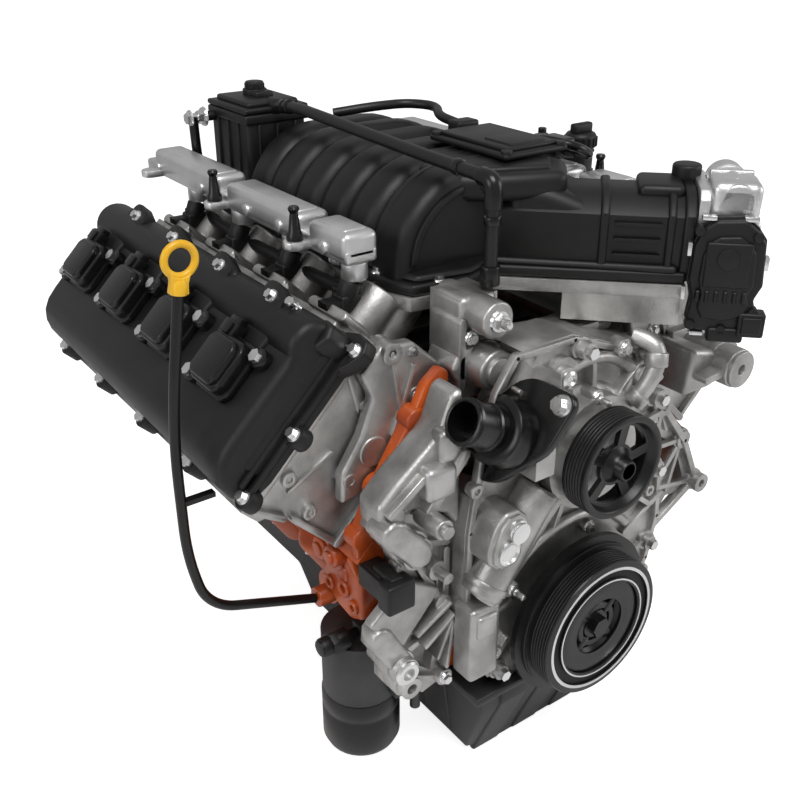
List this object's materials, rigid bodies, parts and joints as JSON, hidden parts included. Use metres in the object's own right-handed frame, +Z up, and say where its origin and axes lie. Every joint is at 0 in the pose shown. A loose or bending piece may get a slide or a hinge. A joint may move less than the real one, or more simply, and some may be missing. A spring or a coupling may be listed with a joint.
{
  "type": "v8 engine",
  "caption": "Complete 90 degree pushrod V8 engine dressed from oil pan to intake manifold, with turning crank, cam, water pump and throttle.",
  "frame": {"origin": "on the crankshaft axis, in the plane of the cylinder block's rear face", "axes": "+Z up, +Y along the crankshaft to the rear, +X towards the engine's left bank"},
  "size_m": [0.7507, 0.6814, 0.7243],
  "materials": {
    "orange_paint": "gloss",
    "raw_iron": "rough",
    "forged_steel": "satin",
    "bright_steel": "satin",
    "cast_aluminium": "satin",
    "pale_aluminium": "satin",
    "grey_casting": "matte",
    "black_moulding": "matte",
    "black_gloss": "gloss",
    "black_paint": "satin",
    "grey_paint": "satin",
    "black_rubber": "matte",
    "hose_rubber": "satin",
    "gasket_steel": "matte",
    "yellow_plastic": "gloss",
    "ceramic_steel": "satin"
  },
  "bodies": {
    "engine": {"cylinder_block": "orange_paint", "main_bearing_caps": "raw_iron", "timing_chain": "forged_steel", "timing_cover": "cast_aluminium", "front_seal": "black_rubber", "oil_pump": "cast_aluminium", "coolant_crossover": "cast_aluminium", "thermostat_housing": "black_gloss", "cam_solenoid": "bright_steel", "accessory_bracket": "cast_aluminium", "alternator_bracket": "cast_aluminium", "compressor_bracket": "cast_aluminium", "cam_sensor": "black_moulding", "oil_pan": "grey_paint", "pan_gasket": "black_rubber", "pan_bolts": "bright_steel", "drain_plug": "bright_steel", "oil_pickup": "bright_steel", "oil_filter": "black_gloss", "oil_filter_adapter": "grey_casting", "oil_pressure_sensor": "black_moulding", "head_gaskets": "gasket_steel", "cylinder_head_right": "cast_aluminium", "cylinder_head_left": "cast_aluminium", "valve_cover_right": "black_moulding", "valve_cover_left": "black_moulding", "ignition_coils_right": "black_gloss", "ignition_coils_left": "black_gloss", "fuel_rail_right": "pale_aluminium", "fuel_rail_left": "pale_aluminium", "rail_posts": "black_paint", "cover_bolts": "bright_steel", "spark_plugs": "ceramic_steel", "intake_upper": "black_moulding", "intake_lower": "cast_aluminium", "throttle_body": "pale_aluminium", "throttle_cover": "black_moulding", "fuel_injectors": "black_moulding", "vent_separator": "black_moulding", "separator_cap": "black_moulding", "vent_hose": "hose_rubber", "vacuum_hose": "hose_rubber", "pressure_sensor_module": "black_moulding", "oil_filler_neck": "black_moulding", "dipstick_tube": "black_paint", "rear_seal_retainer": "cast_aluminium", "front_bolts": "bright_steel"},
    "crank": {"crankshaft": "forged_steel", "crank_sprocket": "forged_steel", "damper_hub": "black_paint", "damper_rubber": "black_rubber", "damper_ring": "black_paint", "damper_bolt": "black_paint"},
    "cam": {"camshaft": "forged_steel", "cam_sprocket": "forged_steel"},
    "pump": {"water_pump_rotor": "black_paint", "water_pump_pulley": "black_paint"},
    "throttle": {"throttle_plate": "bright_steel"},
    "stick": {"dipstick": "yellow_plastic"},
    "filler_cap": {"oil_filler_cap": "black_moulding"}
  },
  "joints": [
    {"name": "crank_spin", "type": "hinge", "parent": "engine", "child": "crank", "pos_m": [0, 0, 0], "axis": [0, 1, 0], "continuous": true},
    {"name": "cam_spin", "type": "hinge", "parent": "engine", "child": "cam", "pos_m": [0, 0, 0.15], "axis": [0, 1, 0], "continuous": true},
    {"name": "pump_spin", "type": "hinge", "parent": "engine", "child": "pump", "pos_m": [0, 0, 0.2016], "axis": [0, 1, 0], "continuous": true},
    {"name": "throttle_turn", "type": "hinge", "parent": "engine", "child": "throttle", "pos_m": [0.18314, -0.56498, 0.396], "axis": [0.7071, 0.7071, 0], "range_deg": [0, 82]},
    {"name": "stick_pull", "type": "slide", "parent": "engine", "child": "stick", "axis": [0.1527, 0, 0.9883], "range_m": [0, 0.09]},
    {"name": "cap_lift", "type": "slide", "parent": "engine", "child": "filler_cap", "axis": [0, 0, 1], "range_m": [0, 0.04]}
  ],
  "couplings": [
    {"joint": "cam_spin", "follows": "crank_spin", "ratio": 0.5}
  ]
}
